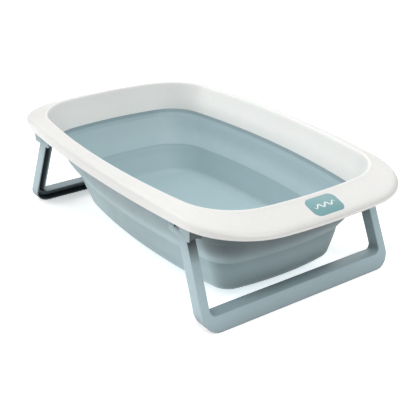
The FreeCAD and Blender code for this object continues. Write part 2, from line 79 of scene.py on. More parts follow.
# ---- rim and bowl: horizontal outlines, and their depths below the rim's crest ----
# A ring has bowed sides and ends and round corners; far_extra_r makes the far ones rounder.
Ring = namedtuple("Ring", "half_length half_width side_sag end_sag corner_r shift far_extra_r",
                  defaults=[0.0, 0.0])
# A station is a ring at a depth; bend rounds the wall there, drape 1 lays it on the deck.
Station = namedtuple("Station", "ring depth bend drape", defaults=[0.0, 0.0])
RIM_OUTER = Ring(415.0, 247.0, 32.0, 28.0, 136.0)
CREST = Ring(351.0, 221.5, 37.0, 28.0, 112.0)
WALL_BREAK = Ring(339.2, 207.2, 37.0, 28.0, 91.0)
SEAM = Ring(335.5, 203.0, 37.0, 28.0, 82.0)
LEDGE = Ring(329.5, 198.0, 36.0, 27.0, 77.0, 0.0, 20.0)
BAND_MID = Ring(313.0, 189.0, 35.0, 26.0, 60.0, 4.0, 36.0)
CREASE = Ring(290.0, 172.5, 33.0, 24.0, 50.0, 8.0, 40.0)
FOLD_LOW = Ring(284.5, 167.5, 31.0, 22.0, 46.0, 10.5, 42.0)
TRAY_LOW = Ring(271.5, 157.0, 28.0, 20.0, 38.0, 15.5, 38.0)
FLOOR = Ring(256.5, 142.0, 25.0, 18.0, 30.0, 15.5, 32.0)
CREST_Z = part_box("rim_shell")[1].z / MM
WALL_BREAK_DEPTH = 43.0
SEAM_DEPTH = 62.5
LEDGE_DEPTH = 78.0
BAND_MID_DEPTH = 104.0
CREASE_DEPTH = 130.0
FOLD_LOW_DEPTH = 148.0
TRAY_LOW_DEPTH = 178.0
FLOOR_DEPTH = 193.0
SKIRT_DEPTH = 28.5
DECK_SLOPE = tan(radians(17.5))
RIM_WALL = 2.5
BOWL_WALL = 2.4
FLOOR_WALL = 4.0
EDGE_BEND = 13.0
CREST_BEND = 7.0
CREST_LIFT = 0.6
CREST_LIFT_WIDTH = 11.0
WALL_BEND = 15.0
LIP_BEND = 0.9
SEAM_BEND = 0.5
SOFT_BEND = 4.0
SEAM_GAP = 0.08
LEDGE_BEND = 1.5
LEDGE_STEP = 0.6
LEDGE_LIP = 1.2
FOLD_RIDGE = 0.4
FOLD_RIDGE_DROP = 2.5
HEEL_REACH = 1.4
HEEL_STEPS = 9
FLOOR_INSET = 6.0
FLOOR_ROWS = 10
FLOOR_ROW_CROWDING = 1.6
GASKET_OVERLAP = 4.5
BEND_STEPS = 6
ARC_STEPS = (18, 16, 30)
ROW_SPACING = 9.0

# ---- leg frames ----
LEG_FOOT_X = 346.5
LEG_LEAN = radians(22.7)
LEG_DEPTH = 27.5
LEG_OUTER_TOP_Y = 215.5
LEG_OUTER_FOOT_Y = 222.5
ARM_WIDTH = 18.0
BAR_HEIGHT = 28.0
LEG_OUTER_R = 34.0
LEG_INNER_R = 12.0
LEG_FOOT_Z = 1.0
LEG_SKIN = 2.6
LEG_WEB = 3.0
LEG_EDGE = 1.3
LEG_LIP = 0.7
LEG_FILLET = 1.0
LEG_ROUND_STEPS = 4
LEG_RIB = 2.4
LEG_RIB_DEPTH = 12.4
LEG_RIB_FOOT = 0.6
LEG_RIB_EDGE = 0.4
LEG_RIB_END = 2.0
KNUCKLE_R = 12.6
KNUCKLE_EDGE = 0.9
KNUCKLE_SOLID = 22.0
PIN_BORE_R = 5.06
PAD_END_R = 7.5
PAD_TREADS = 11
PAD_TREAD_DEPTH = 0.7
PAD_GROOVE_SHARE = 0.15

# ---- hinge brackets and their pins, clips, latches and screws ----
CHEEK = 2.8
INNER_CHEEK = 2.6
INNER_CHEEK_INSET = 12.0
BRACKET_TOP_WALL = 2.5
BRACKET_END_WALL = 4.5
BRACKET_CORNER_R = 5.0
BRACKET_PLATE_R = 2.5
FIT_GAP = 0.3
SEAT_FIT = 0.03
CUT_PAST = 1.0
RELIEF = 2.8
CREST_RELIEF = 1.2
PIN_CHAMFER = 0.7
PIN_GROOVE_PLAY = 0.05
CLIP_BORE_R = 4.05
CLIP_LUG = 1.1
CLIP_MOUTH = 5.6
LATCH_RIBS = 4
LATCH_RIB_WIDTH = 1.8
LATCH_RIB_PROUD = 1.2
LATCH_OVERLAP = 0.5
LATCH_STEM = 6.0
LATCH_TRAVEL = 5.0
SCREW_HEAD_R = 2.9
SCREW_HEAD = 1.8
SCREW_R = 1.5
SCREW_CROSS = (1.6, 0.35)
SCREW_CROSS_DEPTH = 0.9
SCREW_CLEAR_R = 1.8
SCREW_INSET_X0 = 6.0
SCREW_INSET_X1 = 10.0
BOSS_R = 3.6

# ---- drain ----
DRAIN_FLANGE = 1.6
DRAIN_BORE_R = 13.0
SLEEVE_R = 16.7
SLEEVE_PLAY = 0.05
NUT_NOTCHES = 6
NUT_NOTCH_R = 2.0
PLUG_STEM_R = 12.3
PLUG_CAP = 2.4
PLUG_TAB_THICK = 3.0
PLUG_TAB_WIDTH = 16.0
PLUG_TAB_R = 3.5
PLUG_CAP_ROUND = 1.2
SEAL_R = 0.57
SEAL_PLAY = 0.03
SEAL_STEPS = 16

# ---- badge ----
BADGE_SIZE = (44.0, 66.0)
BADGE_R = 13.0
BADGE_SUNK = 1.3
BADGE_PROUD = 0.3
BADGE_GAP = 0.3
WAVE_LENGTH = 48.0
WAVE_HEIGHT = 4.0
WAVE_WIDTH = 3.2
WAVE_CYCLES = 3
WAVE_STEPS = 60
WAVE_TAPER = 0.25
WAVE_SUNK = 0.2
WAVE_PROUD = 0.25
WAVE_TOP_SHARE = 0.8

# ---- camera: place and target in metres, lens in millimetres, roll in degrees ----
CAMERA_AT = (1.3157, -0.9212, 0.8132)
CAMERA_TARGET = (0.30514, -0.18998, 0.218)
CAMERA_LENS = 72.35
CAMERA_SENSOR = 36.0
CAMERA_SHIFT_X = 0.0041
CAMERA_ROLL = 0.35

# ---- light: wide soft suns by bearing and height in degrees, with their strength ----
SOFTBOXES = (("window", 0.0, 60.0, 2.05),
             ("back_wall", 135.0, 30.0, 0.80),
             ("side_wall", 225.0, 30.0, 1.95))
SOFTBOX_SPREAD = 50.0
ROOM_LIGHT = 0.2
STAGE_HALF = 6.0  # metres
STAGE_GLOW = 0.45

# ---- looks ----
BEVEL_ANGLE = radians(35)
SMOOTH_ANGLE = radians(32)
# Noise scales, per metre: tone that drifts, small specks, and patches of more or less gloss.
FLOW_SCALE = 6.0
SPECK_SCALE = 260.0
GLOSS_SCALE = 45.0
SPECK_TONE = 0.97
GLOSS_SPREAD = 0.06
# Edges lighter with wear; creases darker with grime and painted shade.
WORN_TONE = 1.18
GRIME_AND_SHADE_TONE = 0.72
GRAIN_STRENGTH = 0.6
SCATTER_DEPTH = 2.0
# Painted shade in hollows: reach, the openness where the shade is full and where it ends, and the
# dark's tone.
HOLLOW_REACH = 60.0
HOLLOW_FULL = 0.3
HOLLOW_NONE = 0.9
HOLLOW_DARK = 0.16
# Painted shade by facing: places on the scale from facing inward (0) to facing outward (1).
FACING_STOPS = (0.05, 0.35, 0.65, 0.95)
# Shade by height: it grows to amount as z goes from from_z to full_z, on surfaces that face
# outward (side 1) or inward (side -1). ways weighs X, Y and Z in what counts as outward.
Shade = namedtuple("Shade", "amount from_z full_z side ways")
ALL_WAYS = (1.0, 1.0, 0.0)
END_WAYS = (1.0, 0.0, 0.0)
SHADE_DARK = 0.12
SHADE_FACING = (0.1, 0.7)
BOWL_SHADES = (Shade(0.4, 100.0, 150.0, 1, ALL_WAYS),
               Shade(0.85, 70.0, 135.0, 1, END_WAYS),
               Shade(0.3, 147.0, 150.0, -1, ALL_WAYS))
LEG_SHADES = (Shade(0.3, 125.0, 168.0, 1, ALL_WAYS),
              Shade(0.95, 118.0, 154.0, 1, END_WAYS))


# ---- outlines of the rim and bowl ----
def grow(ring, d):
    """The ring moved outward by d."""
    return ring._replace(half_length=ring.half_length + d, half_width=ring.half_width + d,
                         corner_r=ring.corner_r + d)


def mix_ring(a, b, t):
    return Ring(*[p + (q - p) * t for p, q in zip(a, b)])


def between(a, b, t):
    """The station a share t of the way from a to b."""
    return Station(mix_ring(a.ring, b.ring, t), a.depth + (b.depth - a.depth) * t,
                   0.0, a.drape + (b.drape - a.drape) * t)


def corner_centre(side_r, side_y, end_r, end_x, r):
    """Centre of the corner arc of radius r, where the two bows, both moved in by r, meet."""
    near_side = side_r - r
    near_end = end_r - r
    span = hypot(end_x, side_y)
    along = (near_side ** 2 - near_end ** 2 + span ** 2) / (2 * span)
    across = sqrt(near_side ** 2 - along ** 2)
    ux, uy = end_x / span, -side_y / span
    options = [(along * ux - s * across * uy, side_y + along * uy + s * across * ux)
               for s in (1, -1)]
    return max(options, key=sum)


def ring_arcs(ring):
    """The ring's eight tangent arcs, anticlockwise from the +X end: (cx, cy, r, start, end)."""
    side_r = (ring.half_length ** 2 + ring.side_sag ** 2) / (2 * ring.side_sag)
    end_r = (ring.half_width ** 2 + ring.end_sag ** 2) / (2 * ring.end_sag)
    side_y = ring.half_width - side_r
    end_x = ring.half_length - end_r
    near_r = ring.corner_r
    far_r = ring.corner_r + ring.far_extra_r
    nx, ny = corner_centre(side_r, side_y, end_r, end_x, near_r)
    fx, fy = corner_centre(side_r, side_y, end_r, end_x, far_r)
    near_side, near_end = atan2(ny - side_y, nx), atan2(ny, nx - end_x)
    far_side, far_end = atan2(fy - side_y, fx), atan2(fy, fx - end_x)
    arcs = [(end_x, 0, end_r, -near_end, near_end),
            (nx, ny, near_r, near_end, near_side),
            (0, side_y, side_r, near_side, pi - far_side),
            (-fx, fy, far_r, pi - far_side, pi - far_end),
            (-end_x, 0, end_r, pi - far_end, pi + far_end),
            (-fx, -fy, far_r, pi + far_end, pi + far_side),
            (0, -side_y, side_r, pi + far_side, 2 * pi - near_side),
            (nx, -ny, near_r, 2 * pi - near_side, 2 * pi - near_end)]
    return [(x + ring.shift, y, radius, start, end) for x, y, radius, start, end in arcs]


def ring_points(ring):
    """The ring as points, anticlockwise, with the same number of points for every ring."""
    end_steps, corner_steps, side_steps = ARC_STEPS
    counts = [end_steps, corner_steps, side_steps, corner_steps] * 2
    points = []
    for (cx, cy, r, start, end), steps in zip(ring_arcs(ring), counts):
        for i in range(steps):
            turn = start + (end - start) * i / steps
            points.append((cx + r * cos(turn), cy + r * sin(turn)))
    return points


def crest_tree():
    points = ring_points(CREST)
    tree = KDTree(len(points))
    for i, (x, y) in enumerate(points):
        tree.insert((x, y, 0.0), i)
    tree.balance()
    return tree


CREST_TREE = crest_tree()


def deck_drop(x, y):
    """How far the sloping deck lies below the crest at a point outside the crest."""
    return CREST_TREE.find((x, y, 0.0))[2] * DECK_SLOPE


def station_row(station):
    """The station's points; where it is draped, they follow the deck down."""
    row = []
    for x, y in ring_points(station.ring):
        drop = station.drape * deck_drop(x, y) if station.drape else 0.0
        row.append(Vector((x, y, CREST_Z - station.depth - drop)))
    return row


def spacing(a, b):
    """Roughly how far apart two stations are."""
    return hypot(a.ring.half_width - b.ring.half_width,
                 a.ring.half_length - b.ring.half_length, a.depth - b.depth) + 1e-6


def section(stations, closed=False):
    """The stations with their bends rounded off and their long spans divided."""
    rounded = []
    last = len(stations) - 1
    for i, here in enumerate(stations):
        if here.bend == 0.0 or (not closed and i in (0, last)):
            rounded.append(here)
            continue
        before = stations[i - 1]
        after = stations[(i + 1) % len(stations)]
        start = between(here, before, min(0.5, here.bend / spacing(here, before)))
        end = between(here, after, min(0.5, here.bend / spacing(here, after)))
        for step in range(BEND_STEPS + 1):
            t = step / BEND_STEPS
            rounded.append(between(between(start, here, t), between(here, end, t), t))
    spans = list(zip(rounded, rounded[1:] + rounded[:1] if closed else rounded[1:]))
    full = []
    for a, b in spans:
        count = max(1, ceil(spacing(a, b) / ROW_SPACING))
        full += [between(a, b, k / count) for k in range(count)]
    return full if closed else full + [rounded[-1]]


# ---- plane outlines ----
def rounded_path(corners, closed=True, steps=6):
    """Points along (u, v, radius) corners, each corner rounded by its radius."""
    points = []
    count = len(corners)
    for i, (u, v, r) in enumerate(corners):
        here = Vector((u, v))
        if r == 0 or (not closed and i in (0, count - 1)):
            points.append(here)
            continue
        to_before = (Vector(corners[i - 1][:2]) - here).normalized()
        to_after = (Vector(corners[(i + 1) % count][:2]) - here).normalized()
        half = to_before.angle(to_after) / 2
        centre = here + (to_before + to_after).normalized() * (r / sin(half))
        first = here + to_before * (r / tan(half)) - centre
        last = here + to_after * (r / tan(half)) - centre
        start = atan2(first.y, first.x)
        sweep = remainder(atan2(last.y, last.x) - start, 2 * pi)
        for k in range(steps + 1):
            turn = start + sweep * k / steps
            points.append(centre + Vector((r * cos(turn), r * sin(turn))))
    return points


def rectangle(u0, u1, v0, v1, r=0.0):
    return rounded_path([(u0, v0, r), (u1, v0, r), (u1, v1, r), (u0, v1, r)])


def on_xy(u, v, w):
    return Vector((u, v, w))


def on_xz(u, v, w):
    return Vector((u, w, v))


def on_yz(u, v, w):
    return Vector((w, u, v))


# ---- meshes ----
def clean(mesh):
    """Merges doubled points, drops faces and edges with no size, and turns normals outward."""
    bm = bmesh.new()
    bm.from_mesh(mesh)
    bmesh.ops.remove_doubles(bm, verts=bm.verts, dist=1e-6)
    bmesh.ops.dissolve_degenerate(bm, dist=1e-6, edges=bm.edges)
    bmesh.ops.recalc_face_normals(bm, faces=bm.faces)
    bm.to_mesh(mesh)
    bm.free()


def link_object(name, data):
    """A new object in the scene, for a mesh, light or camera."""
    obj = bpy.data.objects.new(name, data)
    bpy.context.scene.collection.objects.link(obj)
    return obj


def make_object(name, points, faces):
    """A mesh object from points in millimetres, with doubled points merged and normals outward."""
    mesh = bpy.data.meshes.new(name)
    mesh.from_pydata([Vector(p) * MM for p in points], [], faces)
    clean(mesh)
    return link_object(name, mesh)


def skin_faces(row_count, width, wrap):
    """Four-sided faces between neighbouring rows; wrap also joins the last row to the first."""
    pairs = [(a, a + 1) for a in range(row_count - 1)]
    if wrap:
        pairs.append((row_count - 1, 0))
    return [(a * width + i, a * width + (i + 1) % width,
             b * width + (i + 1) % width, b * width + i)
            for a, b in pairs for i in range(width)]


def belt(name, rows):
    """A closed ring-shaped skin through rows of points, back to the first row."""
    points = [p for row in rows for p in row]
    return make_object(name, points, skin_faces(len(rows), len(rows[0]), True))


def loft(name, rows):
    """A closed skin through rows of points, with a flat face at each end."""
    width = len(rows[0])
    points = [p for row in rows for p in row]
    faces = skin_faces(len(rows), width, False)
    faces += [tuple(range(width)), tuple(range(len(points) - width, len(points)))]
    return make_object(name, points, faces)


def folded_loft(name, rows):
    """A loft through U-shaped outlines, closed at each end by a strip from leg to leg of the U."""
    width = len(rows[0])
    points = [p for row in rows for p in row]
    faces = skin_faces(len(rows), width, False)
    for first in (0, len(points) - width):
        last = first + width - 1
        faces += [(first + i, first + i + 1, last - i - 1, last - i)
                  for i in range(width // 2 - 1)]
    return make_object(name, points, faces)


def slab(name, outline, place, w0, w1):
    """A plane outline made solid from w0 to w1; place turns (u, v, w) into a point."""
    return loft(name, [[place(u, v, w) for u, v in outline] for w in (w0, w1)])


def turned(name, profile, centre, axis="z", closed=False, steps=48):
    """A round part from (radius, height) points, about an axis through centre."""
    def place(radius, height, turn):
        a, b = radius * cos(turn), radius * sin(turn)
        offset = Vector((a, b, height)) if axis == "z" else Vector((a, height, b))
        return Vector(centre) + offset

    rows = [[place(r, h, 2 * pi * i / steps) for i in range(steps)] for r, h in profile]
    return belt(name, rows) if closed else loft(name, rows)


def apply_modifiers(obj):
    """Puts the result of the object's modifiers into its mesh."""
    depsgraph = bpy.context.evaluated_depsgraph_get()
    mesh = bpy.data.meshes.new_from_object(obj.evaluated_get(depsgraph))
    clean(mesh)
    obj.modifiers.clear()
    obj.data = mesh
    return obj


def combine(obj, others, operation):
    """Joins other solids to obj, or cuts them from it, and removes them."""
    for other in others:
        modifier = obj.modifiers.new(operation.lower(), "BOOLEAN")
        modifier.operation = operation
        modifier.solver = "EXACT"
        modifier.object = other
    apply_modifiers(obj)
    for other in others:
        bpy.data.objects.remove(other)
    return obj


def soften(obj, width, segments=3):
    """Rounds every sharp edge a little, as moulded and turned parts have."""
    modifier = obj.modifiers.new("edge_rounding", "BEVEL")
    modifier.width = width * MM
    modifier.segments = segments
    modifier.limit_method = "ANGLE"
    modifier.angle_limit = BEVEL_ANGLE
    return apply_modifiers(obj)


def merge(name, parts):
    """One object from several, each a closed solid of its own."""
    bm = bmesh.new()
    for part in parts:
        bm.from_mesh(part.data)
        bpy.data.objects.remove(part)
    mesh = bpy.data.meshes.new(name)
    bm.to_mesh(mesh)
    bm.free()
    return link_object(name, mesh)


def to_corner(obj, end, side):
    """Moves a part made at the +X, +Y corner to another corner by mirroring it."""
    bm = bmesh.new()
    bm.from_mesh(obj.data)
    for vertex in bm.verts:
        vertex.co.x *= end
        vertex.co.y *= side
    bmesh.ops.recalc_face_normals(bm, faces=bm.faces)
    bm.to_mesh(obj.data)
    bm.free()
    return obj


def all_corners(make):
    """Four parts from make, which makes one at the +X, +Y corner."""
    return [to_corner(make(), end, side) for _, end in ENDS for _, side in SIDES]


def finish_piece(obj, slot, nodes, body=None, material=None):
    """Smooth shading, the material named by slot unless material is given, the CAD nodes that the
    piece stands for hidden, and its body.
    """
    obj.data.materials.clear()
    obj.data.materials.append(MATERIALS[material or slot])
    obj.data.shade_smooth()
    obj.data.set_sharp_from_angle(angle=SMOOTH_ANGLE)
    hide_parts(*nodes)
    if body:
        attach(obj, body)
    return obj


def at_corners(master, stem, node, slot):
    """Copies a part made at the +X, +Y corner to all four corners, each on its node's body."""
    pieces = []
    for end_name, end in ENDS:
        for side_name, side in SIDES:
            place = "_" + end_name + "_" + side_name
            body = frame["nodes"][node + place]["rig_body"]
            piece = link_object(stem + place, master.data.copy())
            to_corner(piece, end, side)
            pieces.append(finish_piece(piece, slot, [node + place], body))
    bpy.data.objects.remove(master)
    return pieces


def box_mm(node):
    """The low and high corners of a CAD node's box, in millimetres."""
    low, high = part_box(node)
    return low / MM, high / MM


# ---- materials ----
def srgb(r, g, b):
    """Linear colour from 0 to 255 display values."""
    linear = []
    for value in (r, g, b):
        c = value / 255
        linear.append(c / 12.92 if c <= 0.04045 else ((c + 0.055) / 1.055) ** 2.4)
    return (*linear, 1.0)


def grey(value):
    return (value, value, value, 1.0)


def scaled(colour, factor):
    return (*[min(1.0, c * factor) for c in colour[:3]], 1.0)


def noise_node(tree, coords, scale, detail=3.0):
    node = tree.nodes.new("ShaderNodeTexNoise")
    node.inputs["Scale"].default_value = scale
    node.inputs["Detail"].default_value = detail
    tree.links.new(coords, node.inputs["Vector"])
    return node.outputs["Fac"]


def ramp_node(tree, value, stops):
    """A colour ramp with (position, colour) stops."""
    node = tree.nodes.new("ShaderNodeValToRGB")
    elements = node.color_ramp.elements
    while len(elements) < len(stops):
        elements.new(0.5)
    for element, (position, colour) in zip(elements, stops):
        element.position = position
        element.color = colour
    tree.links.new(value, node.inputs["Fac"])
    return node.outputs["Color"]


def range_node(tree, value, low, high, to_low, to_high):
    """Carries low to high over to to_low to to_high."""
    node = tree.nodes.new("ShaderNodeMapRange")
    for name, number in (("From Min", low), ("From Max", high),
                         ("To Min", to_low), ("To Max", to_high)):
        node.inputs[name].default_value = number
    tree.links.new(value, node.inputs["Value"])
    return node.outputs["Result"]


def mix_node(tree, factor, a, b, blend="MIX"):
    """Mixes a and b; each argument is a value or another node's output."""
    node = tree.nodes.new("ShaderNodeMix")
    node.data_type = "RGBA"
    node.blend_type = blend
    if isinstance(factor, float):
        node.inputs["Factor"].default_value = factor
    else:
        tree.links.new(factor, node.inputs["Factor"])
    for name, value in (("A", a), ("B", b)):
        socket = [s for s in node.inputs if s.name == name and s.type == "RGBA"][0]
        if isinstance(value, tuple):
            socket.default_value = value
        else:
            tree.links.new(value, socket)
    return [s for s in node.outputs if s.type == "RGBA"][0]


def paint_hollow_shade(tree, base, colour, amount):
    """Darkens the colour in deep narrow hollows: painted shade."""
    hollows = tree.nodes.new("ShaderNodeAmbientOcclusion")
    hollows.samples = 8
    hollows.inputs["Distance"].default_value = HOLLOW_REACH * MM
    shade = range_node(tree, hollows.outputs["AO"], HOLLOW_FULL, HOLLOW_NONE, amount, 0.0)
    return mix_node(tree, shade, base, scaled(colour, HOLLOW_DARK))


def vector_node(tree, operation, a, b=None):
    node = tree.nodes.new("ShaderNodeVectorMath")
    node.operation = operation
    tree.links.new(a, node.inputs[0])
    if isinstance(b, tuple):
        node.inputs[1].default_value = b
    elif b:
        tree.links.new(b, node.inputs[1])
    return node.outputs["Value" if operation == "DOT_PRODUCT" else "Vector"]


def facing_out(tree, coords, ways=ALL_WAYS):
    """1 where the surface faces away from the tub's middle, -1 where it faces the middle."""
    level = vector_node(tree, "MULTIPLY", coords, ways)
    outward = vector_node(tree, "NORMALIZE", level)
    normal = tree.nodes.new("ShaderNodeNewGeometry").outputs["Normal"]
    return vector_node(tree, "DOT_PRODUCT", normal, outward)


def facing_painted_shade(tree, coords, base, facing):
    """Painted shade: multiplies the colour by greys that run from facing inward to facing outward.
    """
    share = range_node(tree, facing_out(tree, coords), -1.0, 1.0, 0.0, 1.0)
    stops = [(position, grey(value)) for position, value in zip(FACING_STOPS, facing)]
    tint = ramp_node(tree, share, stops)
    return mix_node(tree, 1.0, base, tint, "MULTIPLY")


def rim_shade(tree, coords, base, colour, shade):
    """Darkens surfaces close under the rim or the seam, as the Shade says."""
    height = vector_node(tree, "DOT_PRODUCT", coords, (0.0, 0.0, 1.0))
    close = range_node(tree, height, shade.from_z * MM, shade.full_z * MM, 0.0, shade.amount)
    none, full = [facing * shade.side for facing in SHADE_FACING]
    outside = range_node(tree, facing_out(tree, coords, shade.ways), none, full, 0.0, 1.0)
    both = tree.nodes.new("ShaderNodeMath")
    both.operation = "MULTIPLY"
    tree.links.new(close, both.inputs[0])
    tree.links.new(outside, both.inputs[1])
    return mix_node(tree, both.outputs["Value"], base, scaled(colour, SHADE_DARK))


def moulded(name, colour, roughness, grain, grain_depth, tone, edge, sheen=0.0, specular=0.5,
            subsurface=0.0, metallic=0.0, hollow=0.0, facing=None, shades=()):
    """Moulded or turned surface: fine grain, soft flow marks, worn edges, creases darkened by grime
    and painted shade, and uneven gloss.

    tone and edge say how much the colour drifts, edges wear and creases darken; hollow, facing
    and shades add painted shade in hollows, by facing and close under the rim.
    """
    material = bpy.data.materials.new(name)
    material.use_nodes = True
    tree = material.node_tree
    shader = tree.nodes["Principled BSDF"]
    coords = tree.nodes.new("ShaderNodeTexCoord").outputs["Object"]
    flow = noise_node(tree, coords, FLOW_SCALE, 2.0)
    speck = noise_node(tree, coords, SPECK_SCALE, 4.0)
    fine = noise_node(tree, coords, 1.0 / (grain * MM), 5.0)
    tones = ramp_node(tree, flow,
                      [(0.3, scaled(colour, 1 - tone)), (0.7, scaled(colour, 1 + tone))])
    flecks = ramp_node(tree, speck, [(0.35, grey(SPECK_TONE)), (0.65, grey(1.0))])
    base = mix_node(tree, 1.0, tones, flecks, "MULTIPLY")
    pointiness = tree.nodes.new("ShaderNodeNewGeometry").outputs["Pointiness"]
    worn = range_node(tree, pointiness, 0.52, 0.62, 0.0, edge)
    # Creases darker: grime and painted shade.
    grime_and_shade = range_node(tree, pointiness, 0.48, 0.40, 0.0, edge)
    base = mix_node(tree, worn, base, scaled(colour, WORN_TONE))
    base = mix_node(tree, grime_and_shade, base, scaled(colour, GRIME_AND_SHADE_TONE))
    # Painted shade: by facing, in hollows and close under the rim.
    if facing:
        base = facing_painted_shade(tree, coords, base, facing)
    if hollow:
        base = paint_hollow_shade(tree, base, colour, hollow)
    for shade in shades:
        base = rim_shade(tree, coords, base, colour, shade)
    tree.links.new(base, shader.inputs["Base Color"])
    gloss = noise_node(tree, coords, GLOSS_SCALE, 3.0)
    uneven = range_node(tree, gloss, 0.3, 0.7, roughness - GLOSS_SPREAD,
                        roughness + GLOSS_SPREAD)
    tree.links.new(uneven, shader.inputs["Roughness"])
    bump = tree.nodes.new("ShaderNodeBump")
    bump.inputs["Strength"].default_value = GRAIN_STRENGTH
    bump.inputs["Distance"].default_value = grain_depth * MM
    tree.links.new(fine, bump.inputs["Height"])
    tree.links.new(bump.outputs["Normal"], shader.inputs["Normal"])
    shader.inputs["Sheen Weight"].default_value = sheen
    shader.inputs["Specular IOR Level"].default_value = specular
    shader.inputs["Subsurface Weight"].default_value = subsurface
    shader.inputs["Subsurface Scale"].default_value = SCATTER_DEPTH * MM
    shader.inputs["Metallic"].default_value = metallic
    return material


def surface(name, colour, *looks, **more):
    return name, moulded(name, srgb(*colour), *looks, **more)


# Name, colour, then roughness, grain, grain depth, tone and edge.
MATERIALS = dict([
    # Painted shade: the rim darker where it faces outward, as on the skirt.
    surface("rim_white", (238, 238, 235), 0.36, 1.1, 0.010, 0.012, 0.04,
            subsurface=0.08, facing=(1.0, 0.95, 0.9, 0.68)),
    # Painted shade: the bowl darker facing inward, much darker facing outward and under the rim,
    # and on the strip under the seam.
    surface("bowl_soft", (167, 191, 197), 0.52, 0.8, 0.020, 0.030, 0.12,
            sheen=0.12, specular=0.4, facing=(0.87, 0.93, 1.0, 0.6), shades=BOWL_SHADES),
    surface("badge_teal", (122, 164, 167), 0.34, 0.7, 0.008, 0.02, 0.2),
    surface("badge_print", (226, 232, 230), 0.4, 0.5, 0.006, 0.01, 0.1),
    # Painted shade: the legs darker in their hollows, on inward faces and near the top under the
    # rim.
    surface("leg_plastic", (157, 177, 183), 0.44, 0.7, 0.030, 0.025, 0.15,
            hollow=0.95, facing=(0.4, 0.75, 0.93, 0.95), shades=LEG_SHADES),
    # Painted shade: the brackets darker in their hollows and under the rim.
    surface("bracket_plastic", (150, 171, 177), 0.48, 0.7, 0.030, 0.03, 0.15,
            hollow=0.95, shades=LEG_SHADES),
    surface("latch_plastic", (48, 60, 64), 0.5, 0.7, 0.020, 0.03, 0.1),
    surface("latch_ribs", (150, 170, 176), 0.42, 0.7, 0.020, 0.03, 0.2),
    surface("pad_rubber", (88, 100, 104), 0.75, 0.6, 0.050, 0.06, 0.2, specular=0.3),
    surface("seal_rubber", (70, 80, 84), 0.6, 0.6, 0.030, 0.05, 0.2, specular=0.35),
    surface("drain_plastic", (228, 228, 224), 0.35, 0.8, 0.010, 0.015, 0.2),
    surface("pin_steel", (112, 118, 122), 0.45, 0.4, 0.006, 0.05, 0.2, metallic=0.8),
    surface("clip_steel", (150, 152, 156), 0.35, 0.4, 0.010, 0.08, 0.2, metallic=1.0),
    surface("screw_steel", (168, 169, 173), 0.33, 0.5, 0.010, 0.06, 0.25, metallic=1.0),
])


# ---- rim and bowl ----
def screw_places():
    """Centres of the two screws of the bracket at the +X, +Y corner."""
    low, high = box_mm("hinge_bracket_near_left")
    y = box_mm("bracket_screws")[1].y - SCREW_HEAD_R
    return [(low.x + SCREW_INSET_X0, y), (high.x - SCREW_INSET_X1, y)]


def make_rim():
    """One moulding: skirt, rounded edge, sloping deck, crest, inner wall, underside and bosses."""
    wall = RIM_WALL
    stations = [
        Station(RIM_OUTER, SKIRT_DEPTH, LIP_BEND),
        Station(RIM_OUTER, 0.0, EDGE_BEND, 1.0),
        Station(grow(CREST, CREST_LIFT_WIDTH), 0.0, SOFT_BEND, 1.0),
        Station(CREST, -CREST_LIFT, CREST_BEND, 1.0),
        Station(WALL_BREAK, WALL_BREAK_DEPTH, WALL_BEND),
        Station(SEAM, SEAM_DEPTH - SEAM_GAP, SEAM_BEND),
        Station(grow(SEAM, wall), SEAM_DEPTH - SEAM_GAP, SEAM_BEND),
        Station(grow(WALL_BREAK, wall), WALL_BREAK_DEPTH, WALL_BEND),
        Station(grow(CREST, 0.4 * wall), wall, SOFT_BEND, 1.0),
        Station(grow(RIM_OUTER, -wall), wall, SOFT_BEND, 1.0),
        Station(grow(RIM_OUTER, -wall), SKIRT_DEPTH, LIP_BEND)]
    rim = belt("rim", [station_row(s) for s in section(stations, closed=True)])
    combine(rim, [badge_slab("pocket", BADGE_GAP, -BADGE_SUNK, 2.0)], "DIFFERENCE")
    floor_z = box_mm("hinge_bracket_near_left")[1].z
    bosses = []
    for x, y in screw_places():
        top = CREST_Z - deck_drop(x, y) - 0.5 * wall
        profile = [(0.0, top), (0.0, floor_z), (BOSS_R, floor_z), (BOSS_R, top)]
        bosses += all_corners(lambda: turned("boss", profile, (x, y, 0.0), steps=24))
    rim = merge("rim_moulding", [rim] + bosses)
    return finish_piece(rim, "rim_white", ["rim_shell"], "rim")


# ---- badge ----
def badge_place(u, v, w):
    """A point of the badge: u down the deck, v along the rim's end, w out of the deck."""
    low, high = box_mm("badge_plate")
    x, y = (low.x + high.x) / 2, (low.y + high.y) / 2
    slope = atan(DECK_SLOPE)
    return Vector((x + u * cos(slope) + w * sin(slope), y + v,
                   CREST_Z - deck_drop(x, y) - u * sin(slope) + w * cos(slope)))


def badge_slab(name, extra, w0, w1):
    """The badge's rounded outline, larger by extra on each side, made solid from w0 to w1."""
    half_u, half_v = BADGE_SIZE[0] / 2 + extra, BADGE_SIZE[1] / 2 + extra
    outline = rectangle(-half_u, half_u, -half_v, half_v, BADGE_R)
    return slab(name, outline, badge_place, w0, w1)


